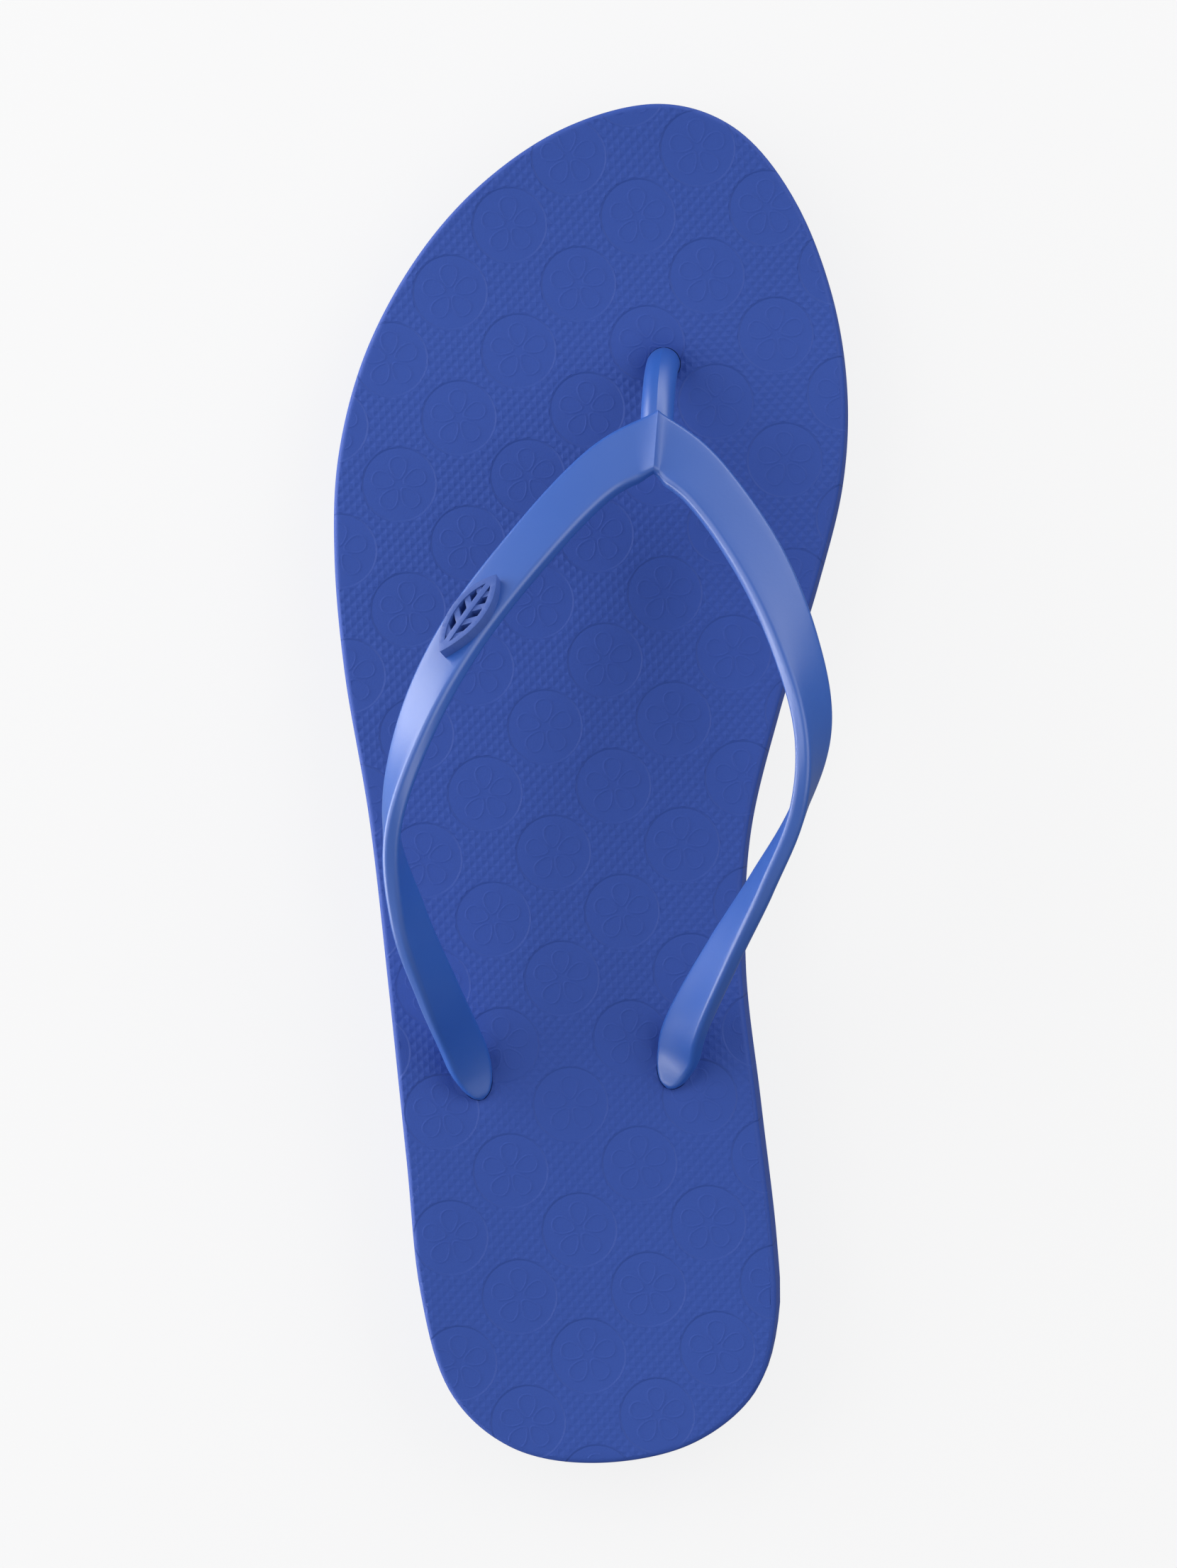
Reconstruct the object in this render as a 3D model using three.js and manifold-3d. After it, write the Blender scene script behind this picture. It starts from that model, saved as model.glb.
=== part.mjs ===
// A flip flop for the left foot, in three pieces: a moulded foam sole, a slim thong strap moulded in
// one with its toe post and its three plugs, and a small openwork badge on the outer arm of the strap.
//
// Millimetres. +Y runs from heel to toe, +X towards the inner (big toe) side and +Z up.
// The origin is the middle of the sole's footprint, on the floor.
import * as THREE from "three";
import { mergeVertices } from "three/addons/utils/BufferGeometryUtils.js";
import Module from "manifold-3d";

const wasm = await Module();
wasm.setup();

// ---------------------------------------------------------------- driving dimensions

const SOLE_LENGTH = 250;
const BALL_WIDTH = 95.2;
const HEEL_THICKNESS = 18.5;
const FOREFOOT_THICKNESS = 14;
const TOE_SPRING = 6; // lift of the underside at the toe tip
const ARCH_LIFT = 1.8; // lift of the underside at the waist
const HEEL_CUP_DEPTH = 0.8; // dish of the footbed under the heel
const WALL_DRAFT = 0.4; // the footbed's rim stands this far inside the foot of the side wall
const RIM_RADIUS = 1.1; // rounding between side wall and footbed
const FOOT_BEVEL = 0.9; // bevel between side wall and underside

const STRAP_WIDTH = 9.7;
const STRAP_THICKNESS = 2.9;
const STRAP_EDGE_RADIUS = 1.0;
const TONGUE_LENGTH = 11; // the rounded end of each arm, where it dives into the sole
const INSTEP_HEIGHT = 41; // highest point of the outer arm's centre line above the footbed
const CREASE_LIFT = 0.9; // how far the arms are pinched up where they meet

const POST_DIAMETER = 6;
const PLUG_STEM_DIAMETER = 6.4;
const STEM_SINK = 0.4; // a rear stem ends this far below the middle of its tongue
const POST_OVERLAP = 1; // the front stem reaches this far up into the foot of the post
const PLUG_DISC_DIAMETER = 15;
const PLUG_DISC_THICKNESS = 2.2;
const PLUG_DISC_RAISE = 0.6; // the disc's face stays this far above the sole's underside
const FIT_GAP = 0.3; // clearance between strap and sole, and between badge and strap

const BADGE_LENGTH = 17.5;
const BADGE_WIDTH = 7.2;
const BADGE_THICKNESS = 1.9;
const BADGE_BAR = 1.1; // width of the leaf's rim, of its rib and of each vein

const TREAD_DEPTH = 1.2;
const TREAD_GROOVE = 1.8;
const TREAD_PITCH = 9;
const TREAD_BORDER = 7; // plain band between the grooves and the side wall

// ---------------------------------------------------------------- the last

// The outline of the foot of the side wall on a 250 x 95.2 last, seen from above:
// heel, inner side, toe, outer side. It is scaled to the length and width asked for.
const LAST_LENGTH = 250;
const LAST_WIDTH = 95.2;
const LAST_OUTLINE = [
  [1, -125], [18.4, -121.8], [30.7, -112.4], [34.9, -99], [34.5, -84], [31.6, -59], [28.8, -34],
  [29.6, -10], [35, 13], [42.3, 37], [46.9, 56], [47.6, 74], [44.5, 92], [37.5, 109],
  [27, 120.8], [13, 125], [-4, 120.9], [-19.5, 111], [-32, 97.3], [-41.5, 80], [-46.6, 61],
  [-47.4, 42], [-45.4, 20], [-40.7, -7], [-37, -38], [-33.7, -69], [-31.2, -93],
  [-25.8, -111.5], [-14.5, -122],
];
const ACROSS = BALL_WIDTH / LAST_WIDTH;
const ALONG = SOLE_LENGTH / LAST_LENGTH;

const OUTLINE_SAMPLES = 1200;
const outline = sampleOutline();

// Closed smooth curve through the outline's points, fitted exactly to the length and width.
function sampleOutline() {
  const points = LAST_OUTLINE.map(([x, y]) => new THREE.Vector3(x, y, 0));
  const curve = new THREE.CatmullRomCurve3(points, true, "catmullrom", 0.5);
  const samples = curve.getPoints(OUTLINE_SAMPLES).slice(0, OUTLINE_SAMPLES);
  const box = new THREE.Box3().setFromPoints(samples);
  const middle = box.getCenter(new THREE.Vector3());
  const size = box.getSize(new THREE.Vector3());
  return samples.map(
    (p) =>
      new THREE.Vector2(
        ((p.x - middle.x) * BALL_WIDTH) / size.x,
        ((p.y - middle.y) * SOLE_LENGTH) / size.y,
      ),
  );
}

// Outward unit normal of the outline at a sample.
function outlineNormal(i) {
  const n = outline.length;
  const step = outline[(i + 2) % n].clone().sub(outline[(i + n - 2) % n]);
  return new THREE.Vector2(step.y, -step.x).normalize();
}

const smooth = THREE.MathUtils.smoothstep;
const lerp = THREE.MathUtils.lerp;

// Where the underside leaves the floor, as shares of the length from heel (-0.5) to toe (0.5).
const HEEL_FLAT_END = -0.12 * SOLE_LENGTH;
const FOREFOOT_FLAT_START = 0.15 * SOLE_LENGTH;
const SPRING_START = 0.33 * SOLE_LENGTH;

// Height of the underside: flat under heel and ball, lifted at the waist and towards the toe tip.
function undersideHeight(y) {
  const spring = Math.max(0, (y - SPRING_START) / (SOLE_LENGTH / 2 - SPRING_START));
  const waist = THREE.MathUtils.clamp(
    (y - HEEL_FLAT_END) / (FOREFOOT_FLAT_START - HEEL_FLAT_END), 0, 1,
  );
  return TOE_SPRING * spring ** 2 + ARCH_LIFT * Math.sin(Math.PI * waist) ** 2;
}

// Height of the footbed: it falls from heel to ball, follows the toe spring and dishes at the heel.
function footbedHeight(x, y) {
  const fall = smooth(y, -0.26 * SOLE_LENGTH, 0.16 * SOLE_LENGTH);
  const spring = Math.max(0, (y - SPRING_START) / (SOLE_LENGTH / 2 - SPRING_START));
  const acrossHeel = Math.min(1, Math.abs(x) / (0.3 * BALL_WIDTH));
  const heel = 1 - smooth(y, -0.44 * SOLE_LENGTH, -0.16 * SOLE_LENGTH);
  const back = smooth(y, -0.5 * SOLE_LENGTH, -0.4 * SOLE_LENGTH);
  return (
    lerp(HEEL_THICKNESS, FOREFOOT_THICKNESS, fall) +
    TOE_SPRING * spring ** 2 -
    HEEL_CUP_DEPTH * heel * back * (1 - acrossHeel ** 2)
  );
}

// ---------------------------------------------------------------- solids

// A geometry as a solid. Only its positions are kept, with equal ones merged.
function solidOf(geometry) {
  const bare = geometry.index ? geometry.toNonIndexed() : geometry;
  const points = new THREE.BufferGeometry().setAttribute("position", bare.getAttribute("position"));
  const merged = mergeVertices(points, 1e-4);
  const triVerts = [];
  for (let i = 0; i < merged.index.count; i += 3) {
    const [a, b, c] = [0, 1, 2].map((k) => merged.index.getX(i + k));
    if (a !== b && b !== c && c !== a) triVerts.push(a, b, c);
  }
  return new wasm.Manifold(
    new wasm.Mesh({
      numProp: 3,
      vertProperties: merged.attributes.position.array,
      triVerts: new Uint32Array(triVerts),
    }),
  );
}

// A solid back as a geometry with flat faces.
function geometryOf(solid) {
  const mesh = solid.getMesh();
  const position = new Float32Array(mesh.numVert * 3);
  for (let i = 0; i < mesh.numVert; i++) {
    position.set(mesh.vertProperties.subarray(i * mesh.numProp, i * mesh.numProp + 3), i * 3);
  }
  const geometry = new THREE.BufferGeometry()
    .setAttribute("position", new THREE.BufferAttribute(position, 3))
    .setIndex(new THREE.BufferAttribute(mesh.triVerts, 1))
    .toNonIndexed();
  geometry.computeVertexNormals();
  return geometry;
}

// Closed surface from triangles given as a flat list of points.
function surfaceOf(triangles) {
  return new THREE.BufferGeometry().setFromPoints(triangles);
}

// Skin through rings of equal point count, closed at both ends by fans to the two end points.
function loft(rings, firstEnd, lastEnd) {
  const triangles = [];
  const count = rings[0].length;
  for (let j = 0; j < count; j++) {
    const k = (j + 1) % count;
    triangles.push(firstEnd, rings[0][k], rings[0][j]);
    for (let i = 0; i + 1 < rings.length; i++) {
      const [near, far] = [rings[i], rings[i + 1]];
      triangles.push(near[j], near[k], far[k], near[j], far[k], far[j]);
    }
    triangles.push(lastEnd, rings[rings.length - 1][j], rings[rings.length - 1][k]);
  }
  return surfaceOf(triangles);
}

// ---------------------------------------------------------------- sole

const SOLE_ROWS = 44;
const SOLE_COLUMNS = 8;

// Samples of the outline in pairs at the same height up the page, close together at heel and toe.
function outlineRows() {
  const heel = outline.reduce((best, p, i) => (p.y < outline[best].y ? i : best), 0);
  const toe = outline.reduce((best, p, i) => (p.y > outline[best].y ? i : best), 0);
  const n = outline.length;
  const nearest = (from, step, y) => {
    let i = from;
    while (i !== toe && outline[i].y < y) i = (i + step + n) % n;
    return i;
  };
  const rows = [{ inner: heel, outer: heel }];
  for (let r = 1; r < SOLE_ROWS; r++) {
    const y = (-SOLE_LENGTH / 2) * Math.cos((Math.PI * r) / SOLE_ROWS);
    rows.push({ inner: nearest(heel, 1, y), outer: nearest(heel, -1, y) });
  }
  rows.push({ inner: toe, outer: toe });
  return rows;
}

// The side wall from bottom to top: how far each line stands inside the outline, and its height.
const WALL_LINES = [
  { inset: FOOT_BEVEL, z: (p) => undersideHeight(p.y) },
  { inset: 0, z: (p) => undersideHeight(p.y) + FOOT_BEVEL },
  { inset: WALL_DRAFT, z: (p) => footbedHeight(p.x, p.y) - RIM_RADIUS },
  { inset: WALL_DRAFT + 0.29 * RIM_RADIUS, z: (p) => footbedHeight(p.x, p.y) - 0.29 * RIM_RADIUS },
  { inset: WALL_DRAFT + RIM_RADIUS, z: (p) => footbedHeight(p.x, p.y) },
];

function soleBlank() {
  const rows = outlineRows();
  const ring = [
    ...rows.map((row) => row.inner),
    ...rows.slice(1, -1).reverse().map((row) => row.outer),
  ];
  const place = (i, line) => {
    const p = outline[i].clone().addScaledVector(outlineNormal(i), -line.inset);
    return new THREE.Vector3(p.x, p.y, line.z(p));
  };
  const triangles = [];
  for (let j = 0; j < ring.length; j++) {
    const k = (j + 1) % ring.length;
    for (let l = 0; l + 1 < WALL_LINES.length; l++) {
      const [low, high] = [WALL_LINES[l], WALL_LINES[l + 1]];
      const [a, b] = [place(ring[j], low), place(ring[k], low)];
      const [c, d] = [place(ring[k], high), place(ring[j], high)];
      triangles.push(a, b, c, a, c, d);
    }
  }
  const cap = (line, height, up) => {
    const grid = rows.map((row) => {
      const [from, to] = [place(row.outer, line), place(row.inner, line)];
      return Array.from({ length: SOLE_COLUMNS + 1 }, (_, c) => {
        const p = from.clone().lerp(to, c / SOLE_COLUMNS);
        if (c > 0 && c < SOLE_COLUMNS) p.z = height(p);
        return p;
      });
    });
    for (let r = 0; r < SOLE_ROWS; r++) {
      for (let c = 0; c < SOLE_COLUMNS; c++) {
        const [a, b] = [grid[r][c], grid[r][c + 1]];
        const [d, e] = [grid[r + 1][c], grid[r + 1][c + 1]];
        if (up) triangles.push(a, b, e, a, e, d);
        else triangles.push(a, e, b, a, d, e);
      }
    }
  };
  cap(WALL_LINES[0], (p) => undersideHeight(p.y), false);
  cap(WALL_LINES[WALL_LINES.length - 1], (p) => footbedHeight(p.x, p.y), true);
  return solidOf(surfaceOf(triangles));
}

// An upright prism of the outline drawn in by an inset.
function outlinePrism(inset, low, high) {
  const every = 12;
  const points = [];
  for (let i = 0; i < outline.length; i += every) {
    points.push(outline[i].clone().addScaledVector(outlineNormal(i), -inset));
  }
  const prism = new THREE.ExtrudeGeometry(new THREE.Shape(points), {
    depth: high - low, bevelEnabled: false,
  });
  return solidOf(prism.translate(0, 0, low));
}

function uprightCylinder(x, y, radius, low, high) {
  const cylinder = new THREE.CylinderGeometry(radius, radius, high - low, 28).rotateX(Math.PI / 2);
  return solidOf(cylinder.translate(x, y, (low + high) / 2));
}

// Cross grooves under heel and ball, kept off the side wall and off the three plugs.
function treadGrooves() {
  const bars = [];
  const addBars = (from, to) => {
    for (let y = from; y <= to; y += TREAD_PITCH) {
      const bar = new THREE.BoxGeometry(BALL_WIDTH, TREAD_GROOVE, 2 * TREAD_DEPTH);
      bars.push(solidOf(bar.translate(0, y, 0)));
    }
  };
  addBars(-SOLE_LENGTH / 2 + 2 * TREAD_PITCH, HEEL_FLAT_END);
  addBars(FOREFOOT_FLAT_START, SPRING_START);
  let grooves = bars.reduce((all, bar) => all.add(bar));
  grooves = grooves.intersect(outlinePrism(TREAD_BORDER, -2 * TREAD_DEPTH, 2 * TREAD_DEPTH));
  for (const plug of plugs()) {
    const keepOff = PLUG_DISC_DIAMETER / 2 + TREAD_GROOVE;
    grooves = grooves.subtract(uprightCylinder(plug.x, plug.y, keepOff, -5, 5));
  }
  return grooves;
}

// ---------------------------------------------------------------- strap

// Stations of each arm from the crease at the toe post to the tongue's tip: plan place on the last,
// height above the footbed as a share of the instep height, roll of the face in degrees (0 lies
// flat with the outer face up, 90 stands on its front edge with that face outwards), and width as a
// share of the strap's.
const CREASE = { x: 13.2, y: 61.7, rise: 0.52, roll: 24, width: 1.27 };
const OUTER_ARM = [
  CREASE,
  { x: 2.8, y: 55.5, rise: 0.57, roll: 27, width: 1.07 },
  { x: -8.8, y: 42.9, rise: 0.71, roll: 32, width: 1.04 },
  { x: -21, y: 26.4, rise: 0.85, roll: 36, width: 1.02 },
  { x: -29, y: 9.5, rise: 0.96, roll: 53, width: 1 },
  { x: -33, y: -8, rise: 0.97, roll: 83, width: 0.98 },
  { x: -30.6, y: -23.5, rise: 0.81, roll: 119, width: 0.95 },
  { x: -26.2, y: -37.2, rise: 0.5, roll: 139, width: 0.9 },
  { x: -23.1, y: -46.4, rise: 0.19, roll: 148, width: 0.88 },
  { x: -21.1, y: -52.4, rise: 0.04, roll: 153, width: 0.88 },
  { x: -19.6, y: -57.8, rise: -0.02, roll: 157, width: 0.88 },
];
const INNER_ARM = [
  CREASE,
  { x: 22.5, y: 53.6, rise: 0.6, roll: 25, width: 1.07 },
  { x: 31.8, y: 40.2, rise: 0.73, roll: 28, width: 1.05 },
  { x: 38.4, y: 25, rise: 0.86, roll: 38, width: 1 },
  { x: 41.6, y: 10, rise: 0.95, roll: 60, width: 1.02 },
  { x: 39.2, y: -4.3, rise: 0.95, roll: 90, width: 0.98 },
  { x: 32.8, y: -17.5, rise: 0.81, roll: 108, width: 0.98 },
  { x: 25.4, y: -30.5, rise: 0.54, roll: 125, width: 0.97 },
  { x: 18.9, y: -42.8, rise: 0.23, roll: 142, width: 0.94 },
  { x: 16.5, y: -49.9, rise: 0.045, roll: 150, width: 0.93 },
  { x: 15, y: -55.7, rise: -0.02, roll: 154, width: 0.92 },
];
const CREASE_HEADING = new THREE.Vector3(-0.06, -1, 0).normalize();
const MITRE_LENGTH = 9; // the face turns square to the arm within this length from the crease
const PINCH_LENGTH = 3.5; // the crease's lift dies away within this length

// A plan place on the last, at a height above the footbed.
function aboveFootbed(x, y, height) {
  const [px, py] = [x * ACROSS, y * ALONG];
  return new THREE.Vector3(px, py, footbedHeight(px, py) + height);
}

// side is 1 for the outer arm and -1 for the inner one.
function makeArm(stations, side) {
  const places = stations.map((s) => aboveFootbed(s.x, s.y, s.rise * INSTEP_HEIGHT));
  const turns = stations.map((s) => new THREE.Vector3(s.roll, s.width * STRAP_WIDTH, 0));
  const curve = new THREE.CatmullRomCurve3(places, false, "catmullrom", 0.5);
  const twist = new THREE.CatmullRomCurve3(turns, false, "catmullrom", 0.5);
  curve.arcLengthDivisions = 400;
  return { curve, twist, side, length: curve.getLength() };
}

const arms = { outer: makeArm(OUTER_ARM, 1), inner: makeArm(INNER_ARM, -1) };

// Frame of an arm at a length from the crease: centre, direction along, direction across from front
// to rear edge, direction out of the outer face, and width.
function armFrame(arm, length) {
  const u = THREE.MathUtils.clamp(length / arm.length, 0, 1);
  const t = arm.curve.getUtoTmapping(u);
  const centre = arm.curve.getPoint(t);
  const along = arm.curve.getTangent(t);
  const { x: rollDegrees, y: width } = arm.twist.getPoint(t);
  const square = smooth(length, 0, MITRE_LENGTH);
  const inward = new THREE.Vector3(-along.y, along.x, 0).multiplyScalar(arm.side).normalize();
  inward.lerpVectors(CREASE_HEADING, inward.clone(), square).normalize();
  const up = new THREE.Vector3(0, 0, 1);
  const upright = up.clone().addScaledVector(along, -along.z).normalize();
  upright.lerpVectors(up, upright.clone(), square).normalize();
  const roll = THREE.MathUtils.degToRad(rollDegrees);
  const across = inward.clone().multiplyScalar(Math.cos(roll)).addScaledVector(upright, Math.sin(roll));
  const out = upright.clone().multiplyScalar(Math.cos(roll)).addScaledVector(inward, -Math.sin(roll));
  const pinch = Math.max(0, 1 - length / PINCH_LENGTH) ** 2;
  centre.z += CREASE_LIFT * pinch;
  return { centre, along, across, out, width };
}

// Rounded rectangle as [across, out] pairs, three points to a corner.
function strapSection(halfWidth, halfThickness, radius) {
  const r = Math.min(radius, 0.95 * halfWidth, 0.95 * halfThickness);
  const corners = [[1, 1, 0], [-1, 1, 90], [-1, -1, 180], [1, -1, 270]];
  return corners.flatMap(([sx, sy, start]) =>
    [0, 45, 90].map((turn) => {
      const angle = THREE.MathUtils.degToRad(start + turn);
      return [
        sx * (halfWidth - r) + r * Math.cos(angle),
        sy * (halfThickness - r) + r * Math.sin(angle),
      ];
    }),
  );
}

// One ring of the band at a length along an arm, grown by a gap on every side. Over the tongue its
// width follows half an ellipse.
function bandRing(arm, length, gap) {
  const { centre, along, across, out, width } = armFrame(arm, length);
  const intoTongue = Math.max(0, 1 - (arm.length - length) / TONGUE_LENGTH);
  const halfWidth = (width / 2) * Math.sqrt(1 - intoTongue ** 2) + gap;
  const halfThickness = STRAP_THICKNESS / 2 + gap;
  centre.addScaledVector(along, gap * intoTongue);
  return strapSection(halfWidth, halfThickness, STRAP_EDGE_RADIUS + gap).map(([a, b]) =>
    centre.clone().addScaledVector(across, a).addScaledVector(out, b),
  );
}

// Lengths at which an arm is cut into rings: closer at the crease and along the tongue.
function ringLengths(arm) {
  const near = [1.2, 2.6, 4.4, 6.6, MITRE_LENGTH];
  const tongue = [1, 0.8, 0.62, 0.46, 0.32, 0.2, 0.1, 0.03].map((share) => share * TONGUE_LENGTH);
  const middleEnd = arm.length - tongue[0];
  const steps = 22;
  const middle = Array.from({ length: steps - 1 }, (_, i) =>
    lerp(MITRE_LENGTH, middleEnd, (i + 1) / steps),
  );
  return [...near, ...middle, ...tongue.map((d) => arm.length - d)];
}

// The V of the strap: one skin from the inner tongue over the crease to the outer tongue.
function band(gap) {
  const tip = (arm) => {
    const { centre, along } = armFrame(arm, arm.length);
    return centre.addScaledVector(along, gap);
  };
  const rings = [
    ...ringLengths(arms.inner).reverse().map((d) => bandRing(arms.inner, d, gap)),
    bandRing(arms.outer, 0, gap),
    ...ringLengths(arms.outer).map((d) => bandRing(arms.outer, d, gap)),
  ];
  return solidOf(loft(rings, tip(arms.inner), tip(arms.outer)));
}

// The toe post's centre line: up out of the sole, then leaning back to a rounded root under the V.
const POST_STATIONS = [
  { x: 13.8, y: 77.3, rise: -0.07 },
  { x: 13.8, y: 77.2, rise: 0.02 },
  { x: 13.7, y: 76.3, rise: 0.12 },
  { x: 13.5, y: 73.7, rise: 0.24 },
  { x: 13.3, y: 68.8, rise: 0.37 },
  { x: 13.2, y: 62.6, rise: 0.48 },
];

// Plan places and stem tops of the plugs: one under the toe post, one inside each tongue.
function plugs() {
  const [{ x, y, rise }] = POST_STATIONS;
  const foot = aboveFootbed(x, y, rise * INSTEP_HEIGHT);
  const stemBack = 0.45 * TONGUE_LENGTH;
  const rear = Object.values(arms).map((arm) => armFrame(arm, arm.length - stemBack).centre);
  return [
    { x: foot.x, y: foot.y, top: foot.z + POST_OVERLAP, stem: POST_DIAMETER },
    ...rear.map((c) => ({ x: c.x, y: c.y, top: c.z - STEM_SINK, stem: PLUG_STEM_DIAMETER })),
  ];
}

// Stem and disc turned about the plug's axis. A cutter for the sole runs out through the underside.
function plugSolid(plug, gap) {
  const floor = undersideHeight(plug.y) + PLUG_DISC_RAISE;
  const bottom = gap > 0 ? -HEEL_THICKNESS : floor;
  const discTop = floor + PLUG_DISC_THICKNESS + gap;
  const discRadius = PLUG_DISC_DIAMETER / 2 + gap;
  const stemRadius = plug.stem / 2 + gap;
  const profile = [
    [0, bottom], [discRadius, bottom], [discRadius, discTop],
    [stemRadius, discTop], [stemRadius, plug.top], [0, plug.top],
  ].map(([r, z]) => new THREE.Vector2(r, z));
  const turned = new THREE.LatheGeometry(profile, 28).rotateX(Math.PI / 2);
  return solidOf(turned.translate(plug.x, plug.y, 0));
}

function toePost(gap) {
  const path = new THREE.CatmullRomCurve3(
    POST_STATIONS.map((s) => aboveFootbed(s.x, s.y, s.rise * INSTEP_HEIGHT)),
  );
  const section = new THREE.Shape();
  section.absarc(0, 0, POST_DIAMETER / 2 + gap, 0, 2 * Math.PI);
  const tube = new THREE.ExtrudeGeometry(section, {
    steps: 16, curveSegments: 10, bevelEnabled: false, extrudePath: path,
  });
  const root = new THREE.SphereGeometry(POST_DIAMETER / 2 + gap, 20, 12);
  return solidOf(tube).add(solidOf(root.translate(...path.getPoint(1))));
}

// The whole strap, or with a gap the cutter that leaves its holes in the sole.
function strapSolid(gap) {
  const pieces = [band(gap), toePost(gap), ...plugs().map((plug) => plugSolid(plug, gap))];
  return pieces.reduce((all, piece) => all.add(piece));
}

// ---------------------------------------------------------------- badge

const BADGE_MIDDLE = 48.5; // length along the outer arm from the crease, on the last
const BADGE_SHIFT = 0.8; // its midrib lies this far behind the arm's centre line
const VEIN_PAIRS = 4;
const VEIN_SLANT = 50; // degrees from the rib
const VEIN_THICKNESS = 0.85 * BADGE_THICKNESS;

// Flat plate between two arcs that meet in a point at both ends, drawn in by an inset.
function leafPlate(inset) {
  const [halfLength, halfWidth] = [BADGE_LENGTH / 2, BADGE_WIDTH / 2];
  const radius = (halfLength ** 2 + halfWidth ** 2) / (2 * halfWidth);
  const offset = radius - halfWidth;
  const reach = Math.acos(offset / (radius - inset));
  const shape = new THREE.Shape();
  shape.absarc(0, offset, radius - inset, -Math.PI / 2 - reach, -Math.PI / 2 + reach);
  shape.absarc(0, -offset, radius - inset, Math.PI / 2 - reach, Math.PI / 2 + reach);
  const plate = new THREE.ExtrudeGeometry(shape, {
    depth: BADGE_THICKNESS, curveSegments: 14, bevelEnabled: false,
  });
  return solidOf(plate);
}

// A bar between two plan points, cut across into short lengths so that it can bend.
function leafBar(from, to, thickness) {
  const run = to.clone().sub(from);
  const pieces = Math.ceil(run.length() / 2);
  const box = new THREE.BoxGeometry(run.length(), BADGE_BAR, thickness, pieces, 1, 1);
  const middle = from.clone().add(to).multiplyScalar(0.5);
  return solidOf(box.rotateZ(run.angle()).translate(middle.x, middle.y, thickness / 2));
}

// An openwork leaf lying flat: rim, midrib and slanted veins, its tip at the low end of x.
function flatLeaf() {
  const half = BADGE_LENGTH / 2;
  const rim = leafPlate(0).subtract(leafPlate(BADGE_BAR));
  const rib = leafBar(new THREE.Vector2(-half, 0), new THREE.Vector2(half, 0), BADGE_THICKNESS);
  const veins = [];
  const pitch = BADGE_LENGTH / (VEIN_PAIRS + 1.5);
  const slant = THREE.MathUtils.degToRad(VEIN_SLANT);
  for (let i = 0; i < VEIN_PAIRS; i++) {
    const root = new THREE.Vector2(half - (i + 1) * pitch, 0);
    for (const side of [-1, 1]) {
      const reach = BADGE_WIDTH / 2;
      const end = new THREE.Vector2(root.x - reach / Math.tan(slant), side * reach);
      veins.push(leafBar(root, end, VEIN_THICKNESS));
    }
  }
  const inside = [rib, ...veins].reduce((all, piece) => all.add(piece)).intersect(leafPlate(0));
  return rim.add(inside);
}

// The leaf bent onto the outer arm: x runs along the arm, y across it and z off its face.
function badgeSolid() {
  const lift = STRAP_THICKNESS / 2 + FIT_GAP;
  const geometry = geometryOf(flatLeaf());
  const position = geometry.getAttribute("position");
  for (let i = 0; i < position.count; i++) {
    const frame = armFrame(arms.outer, BADGE_MIDDLE * ALONG + position.getX(i));
    const p = frame.centre
      .addScaledVector(frame.across, position.getY(i) + BADGE_SHIFT)
      .addScaledVector(frame.out, lift + position.getZ(i));
    position.setXYZ(i, p.x, p.y, p.z);
  }
  return solidOf(geometry);
}

// ---------------------------------------------------------------- assembly

const foam = new THREE.MeshStandardMaterial({ color: 0x3450a4, roughness: 0.72, metalness: 0 });
const vinyl = new THREE.MeshStandardMaterial({ color: 0x3a6cc8, roughness: 0.38, metalness: 0 });
const badgeVinyl = new THREE.MeshStandardMaterial({ color: 0x3558b0, roughness: 0.45, metalness: 0 });

function named(name, solid, material) {
  const mesh = new THREE.Mesh(geometryOf(solid), material);
  mesh.name = name;
  return mesh;
}

const flipFlop = new THREE.Group();
flipFlop.add(
  named("sole", soleBlank().subtract(treadGrooves()).subtract(strapSolid(FIT_GAP)), foam),
  named("strap", strapSolid(0), vinyl),
  named("badge", badgeSolid(), badgeVinyl),
);

export default flipFlop;
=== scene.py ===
import bisect
from math import acos, atan, atan2, cos, floor, hypot, pi, radians, sin, sqrt

import bmesh
import bpy
from mathutils import Matrix, Vector


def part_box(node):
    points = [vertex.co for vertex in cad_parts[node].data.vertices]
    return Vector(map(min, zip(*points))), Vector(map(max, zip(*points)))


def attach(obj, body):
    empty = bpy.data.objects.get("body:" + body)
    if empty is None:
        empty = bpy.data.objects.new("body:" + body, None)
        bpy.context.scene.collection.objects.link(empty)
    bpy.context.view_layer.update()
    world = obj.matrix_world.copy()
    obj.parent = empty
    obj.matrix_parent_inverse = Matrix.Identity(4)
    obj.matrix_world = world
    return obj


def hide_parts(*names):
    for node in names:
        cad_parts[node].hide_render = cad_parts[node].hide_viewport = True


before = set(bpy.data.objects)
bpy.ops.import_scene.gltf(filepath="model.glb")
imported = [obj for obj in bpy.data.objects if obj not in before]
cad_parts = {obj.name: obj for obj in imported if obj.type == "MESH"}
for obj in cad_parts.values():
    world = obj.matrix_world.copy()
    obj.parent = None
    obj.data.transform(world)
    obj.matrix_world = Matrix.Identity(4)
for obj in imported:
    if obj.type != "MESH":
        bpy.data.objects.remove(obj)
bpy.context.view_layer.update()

MM = 0.001

# ---------------------------------------------------------------- studio
# A pale matt table in a bright room: one low window of light on the outer side of the shoe, softer
# lights overhead and behind, and a camera on a high arm that stands a little to the inner side.

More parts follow.
